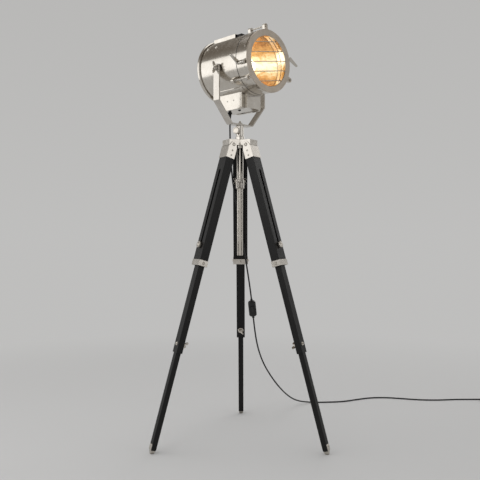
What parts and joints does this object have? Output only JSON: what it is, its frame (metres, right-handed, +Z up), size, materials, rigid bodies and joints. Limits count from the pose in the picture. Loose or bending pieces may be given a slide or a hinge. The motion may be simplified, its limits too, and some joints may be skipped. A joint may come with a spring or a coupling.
{
  "type": "tripod spotlight",
  "caption": "Studio-style spotlight with a round tilting head in a yoke on a folding wooden tripod with telescoping legs, inline switch and mains cord.",
  "frame": {"origin": "on the floor, under the middle of the box round the three shoes", "axes": "+Z up, the lamp faces -Y, tilt axis along X"},
  "size_m": [1.6997, 0.7428, 1.5634],
  "materials": {
    "black_wood": "satin black stain",
    "nickel_fittings": "polished nickel",
    "nickel_cast": "satin nickel",
    "nickel_tube": "polished nickel",
    "nickel_sheet": "polished nickel",
    "lens_glass": "clear",
    "lamp_glass": "clear, lit",
    "reflector": "polished",
    "holder": "matte",
    "black_rubber": "satin",
    "black_plastic": "satin"
  },
  "bodies": {
    "stand": {"hub": "nickel_cast", "hinge_bolts": "nickel_fittings", "sleeve": "nickel_tube", "collar": "nickel_cast", "cord_hang": "black_rubber", "switch_base": "black_plastic", "switch_cover": "black_plastic", "cord_floor": "black_rubber", "cord_coil": "black_rubber", "mains_plug": "black_plastic"},
    "back_leg": {"back_leg_fittings": "nickel_fittings", "back_leg_upper": "black_wood"},
    "back_leg_middle": {"back_leg_middle": "black_wood"},
    "back_leg_lower": {"back_leg_lower": "black_wood", "back_leg_shoe": "nickel_fittings"},
    "back_leg_knob": {"back_leg_knob": "nickel_fittings"},
    "back_leg_wing": {"back_leg_wing": "nickel_fittings"},
    "left_leg": {"left_leg_fittings": "nickel_fittings", "left_leg_upper": "black_wood"},
    "left_leg_middle": {"left_leg_middle": "black_wood"},
    "left_leg_lower": {"left_leg_lower": "black_wood", "left_leg_shoe": "nickel_fittings"},
    "left_leg_knob": {"left_leg_knob": "nickel_fittings"},
    "left_leg_wing": {"left_leg_wing": "nickel_fittings"},
    "right_leg": {"right_leg_fittings": "nickel_fittings", "right_leg_upper": "black_wood"},
    "right_leg_middle": {"right_leg_middle": "black_wood"},
    "right_leg_lower": {"right_leg_lower": "black_wood", "right_leg_shoe": "nickel_fittings"},
    "right_leg_knob": {"right_leg_knob": "nickel_fittings"},
    "right_leg_wing": {"right_leg_wing": "nickel_fittings"},
    "collar_wing_right": {"collar_wing_right": "nickel_fittings"},
    "collar_wing_left": {"collar_wing_left": "nickel_fittings"},
    "column": {"column_tube": "nickel_tube", "stem": "nickel_cast"},
    "pan_knob": {"pan_knob": "nickel_fittings"},
    "yoke": {"yoke": "nickel_sheet", "pan_bolt": "nickel_fittings"},
    "head": {"drum": "nickel_sheet", "rear_cap": "nickel_sheet", "hood": "nickel_sheet", "bezel": "nickel_cast", "glass": "lens_glass", "grille": "nickel_sheet", "reflector": "reflector", "lamp_holder": "holder", "bulb": "lamp_glass", "vent_cover": "nickel_sheet", "power_box": "nickel_sheet", "box_covers": "nickel_sheet", "head_screws": "nickel_fittings", "trunnions": "nickel_fittings", "tie_rods": "nickel_fittings", "cord_gland": "black_plastic"},
    "tilt_wing_left": {"tilt_wing_left": "nickel_fittings"},
    "tilt_wing_right": {"tilt_wing_right": "nickel_fittings"},
    "clamp_lever_left": {"clamp_lever_left": "nickel_fittings"},
    "clamp_lever_right": {"clamp_lever_right": "nickel_fittings"},
    "switch_rocker": {"switch_rocker": "black_plastic"}
  },
  "joints": [
    {"name": "back_leg_fold", "type": "hinge", "parent": "stand", "child": "back_leg", "pos_m": [0.0763, 0.07485, 1.13], "axis": [-0.7108, 0.7034, 0], "range_deg": [0, 13], "deforming": ["cord_hang"]},
    {"name": "back_leg_middle_slide", "type": "slide", "parent": "back_leg", "child": "back_leg_middle", "axis": [-0.1939, -0.1959, 0.9613], "range_m": [0, 0.285]},
    {"name": "back_leg_lower_slide", "type": "slide", "parent": "back_leg_middle", "child": "back_leg_lower", "axis": [-0.1939, -0.1959, 0.9613], "range_m": [0, 0.32]},
    {"name": "back_leg_knob_turn", "type": "hinge", "parent": "back_leg_middle", "child": "back_leg_knob", "pos_m": [0.15385, 0.15322, 0.74546], "axis": [0.6761, 0.6833, 0.2756], "range_deg": [0, 270]},
    {"name": "back_leg_wing_turn", "type": "hinge", "parent": "back_leg_middle", "child": "back_leg_wing", "pos_m": [0.22505, 0.22517, 0.38593], "axis": [0.6761, 0.6833, 0.2756], "range_deg": [0, 270]},
    {"name": "left_leg_fold", "type": "hinge", "parent": "stand", "child": "left_leg", "pos_m": [0.00446, 0.0552, 1.13], "axis": [-0.2538, -0.9673, 0], "range_deg": [0, 13]},
    {"name": "left_leg_middle_slide", "type": "slide", "parent": "left_leg", "child": "left_leg_middle", "axis": [0.2666, -0.0699, 0.9613], "range_m": [0, 0.285]},
    {"name": "left_leg_lower_slide", "type": "slide", "parent": "left_leg_middle", "child": "left_leg_lower", "axis": [0.2666, -0.0699, 0.9613], "range_m": [0, 0.32]},
    {"name": "left_leg_knob_turn", "type": "hinge", "parent": "left_leg_middle", "child": "left_leg_knob", "pos_m": [-0.10219, 0.08318, 0.74546], "axis": [-0.9298, 0.2439, 0.2756], "range_deg": [0, 270]},
    {"name": "left_leg_wing_turn", "type": "hinge", "parent": "left_leg_middle", "child": "left_leg_wing", "pos_m": [-0.20009, 0.10886, 0.38593], "axis": [-0.9298, 0.2439, 0.2756], "range_deg": [0, 270]},
    {"name": "right_leg_fold", "type": "hinge", "parent": "stand", "child": "right_leg", "pos_m": [0.0574, 0.00281, 1.13], "axis": [0.9646, 0.2639, 0], "range_deg": [0, 13]},
    {"name": "right_leg_middle_slide", "type": "slide", "parent": "right_leg", "child": "right_leg_middle", "axis": [-0.0727, 0.2659, 0.9613], "range_m": [0, 0.285]},
    {"name": "right_leg_lower_slide", "type": "slide", "parent": "right_leg_middle", "child": "right_leg_lower", "axis": [-0.0727, 0.2659, 0.9613], "range_m": [0, 0.32]},
    {"name": "right_leg_knob_turn", "type": "hinge", "parent": "right_leg_middle", "child": "right_leg_knob", "pos_m": [0.08649, -0.10354, 0.74546], "axis": [0.2537, -0.9272, 0.2756], "range_deg": [0, 270]},
    {"name": "right_leg_wing_turn", "type": "hinge", "parent": "right_leg_middle", "child": "right_leg_wing", "pos_m": [0.1132, -0.20116, 0.38593], "axis": [0.2537, -0.9272, 0.2756], "range_deg": [0, 270]},
    {"name": "collar_wing_right_turn", "type": "hinge", "parent": "stand", "child": "collar_wing_right", "pos_m": [0.06022, 0.04076, 0.996], "axis": [0.9703, -0.2419, 0], "range_deg": [0, 270]},
    {"name": "collar_wing_left_turn", "type": "hinge", "parent": "stand", "child": "collar_wing_left", "pos_m": [0.04203, 0.05832, 0.996], "axis": [-0.2756, 0.9613, 0], "range_deg": [0, 270]},
    {"name": "column_slide", "type": "slide", "parent": "stand", "child": "column", "axis": [0, 0, 1], "range_m": [0, 0.23], "deforming": ["cord_hang"]},
    {"name": "pan_knob_turn", "type": "hinge", "parent": "column", "child": "pan_knob", "pos_m": [0.04605, 0.04429, 1.186], "axis": [-0.9659, -0.2588, 0], "range_deg": [0, 270]},
    {"name": "yoke_pan", "type": "hinge", "parent": "column", "child": "yoke", "pos_m": [0.04605, 0.04429, 1.21], "axis": [0, 0, 1], "range_deg": [-90, 90], "deforming": ["cord_hang"]},
    {"name": "head_tilt", "type": "hinge", "parent": "yoke", "child": "head", "pos_m": [0.04605, 0.04429, 1.41], "axis": [1, 0, 0], "range_deg": [-30, 45], "deforming": ["cord_hang"]},
    {"name": "tilt_wing_left_turn", "type": "hinge", "parent": "head", "child": "tilt_wing_left", "pos_m": [-0.07495, 0.04429, 1.41], "axis": [-1, 0, 0], "range_deg": [0, 270]},
    {"name": "tilt_wing_right_turn", "type": "hinge", "parent": "head", "child": "tilt_wing_right", "pos_m": [0.16705, 0.04429, 1.41], "axis": [1, 0, 0], "range_deg": [0, 270]},
    {"name": "clamp_lever_left_turn", "type": "hinge", "parent": "head", "child": "clamp_lever_left", "pos_m": [-0.07606, -0.08921, 1.40647], "axis": [0, -1, 0], "range_deg": [-30, 30]},
    {"name": "clamp_lever_right_turn", "type": "hinge", "parent": "head", "child": "clamp_lever_right", "pos_m": [0.16637, -0.08921, 1.458], "axis": [0, -1, 0], "range_deg": [-30, 30]},
    {"name": "switch_rocker_flip", "type": "hinge", "parent": "stand", "child": "switch_rocker", "pos_m": [0.18617, 0.1165, 0.48393], "axis": [0.7018, -0.7049, 0.1029], "range_deg": [-12, 0]}
  ]
}
